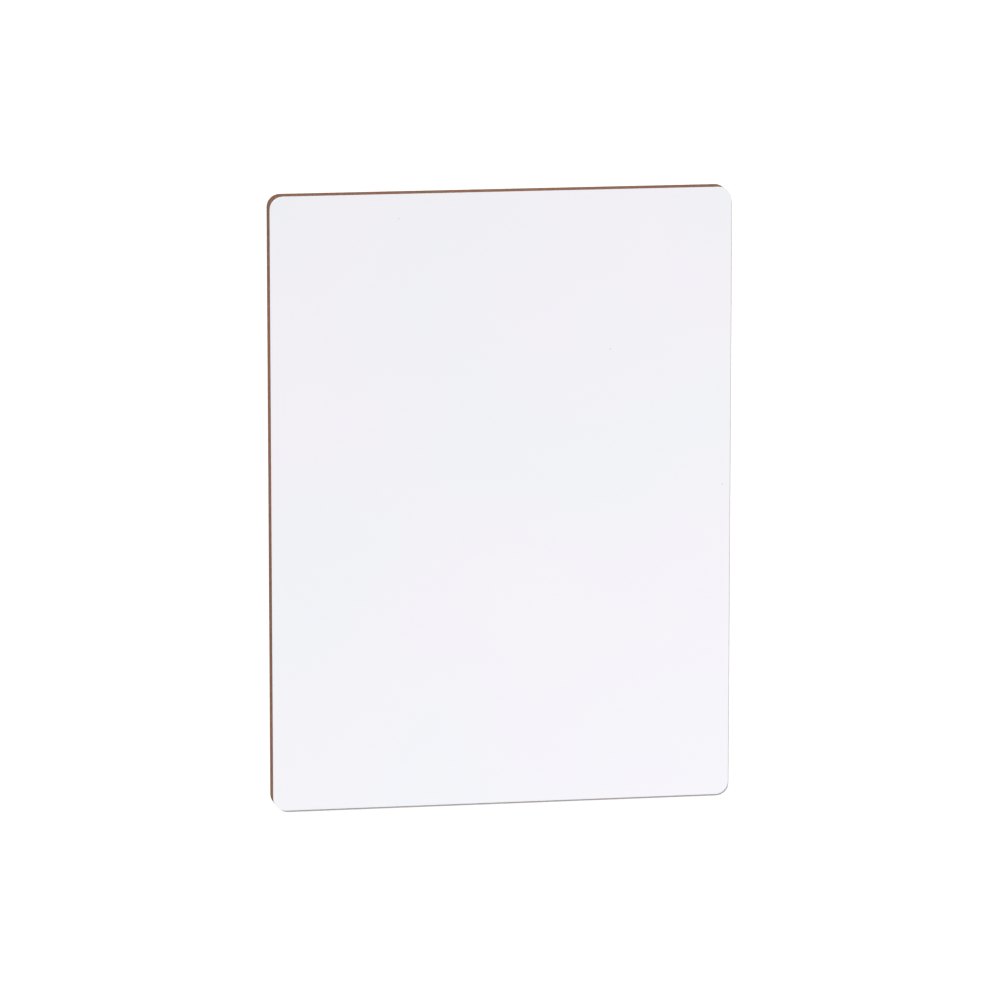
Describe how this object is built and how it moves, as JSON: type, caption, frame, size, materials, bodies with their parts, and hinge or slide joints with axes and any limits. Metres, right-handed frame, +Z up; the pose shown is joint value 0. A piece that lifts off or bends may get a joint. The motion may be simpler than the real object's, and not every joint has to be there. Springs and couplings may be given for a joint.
{
  "type": "marker board",
  "caption": "Flat rounded-corner marker board: a plain white laminate writing face glued to a brown fibreboard core with a brown backer sheet.",
  "frame": {"origin": "under the middle of the board, on the surface that its back rests on", "axes": "the board lies on its back: +Z up out of the white writing face, +Y along the height towards the top edge, +X across the width to the writer's right"},
  "size_m": [0.2286, 0.3048, 0.0111],
  "materials": {
    "white_laminate": "smooth satin white writing surface",
    "fibreboard": "bare sawn fibreboard edge, matte",
    "brown_laminate": "sanded brown backer laminate, matte",
    "adhesive": "dried amber adhesive, satin"
  },
  "bodies": {
    "root": {"front_writing_sheet": "white_laminate", "front_glue_film": "adhesive", "core_board": "fibreboard", "back_glue_film": "adhesive", "back_balance_sheet": "brown_laminate"}
  },
  "joints": []
}
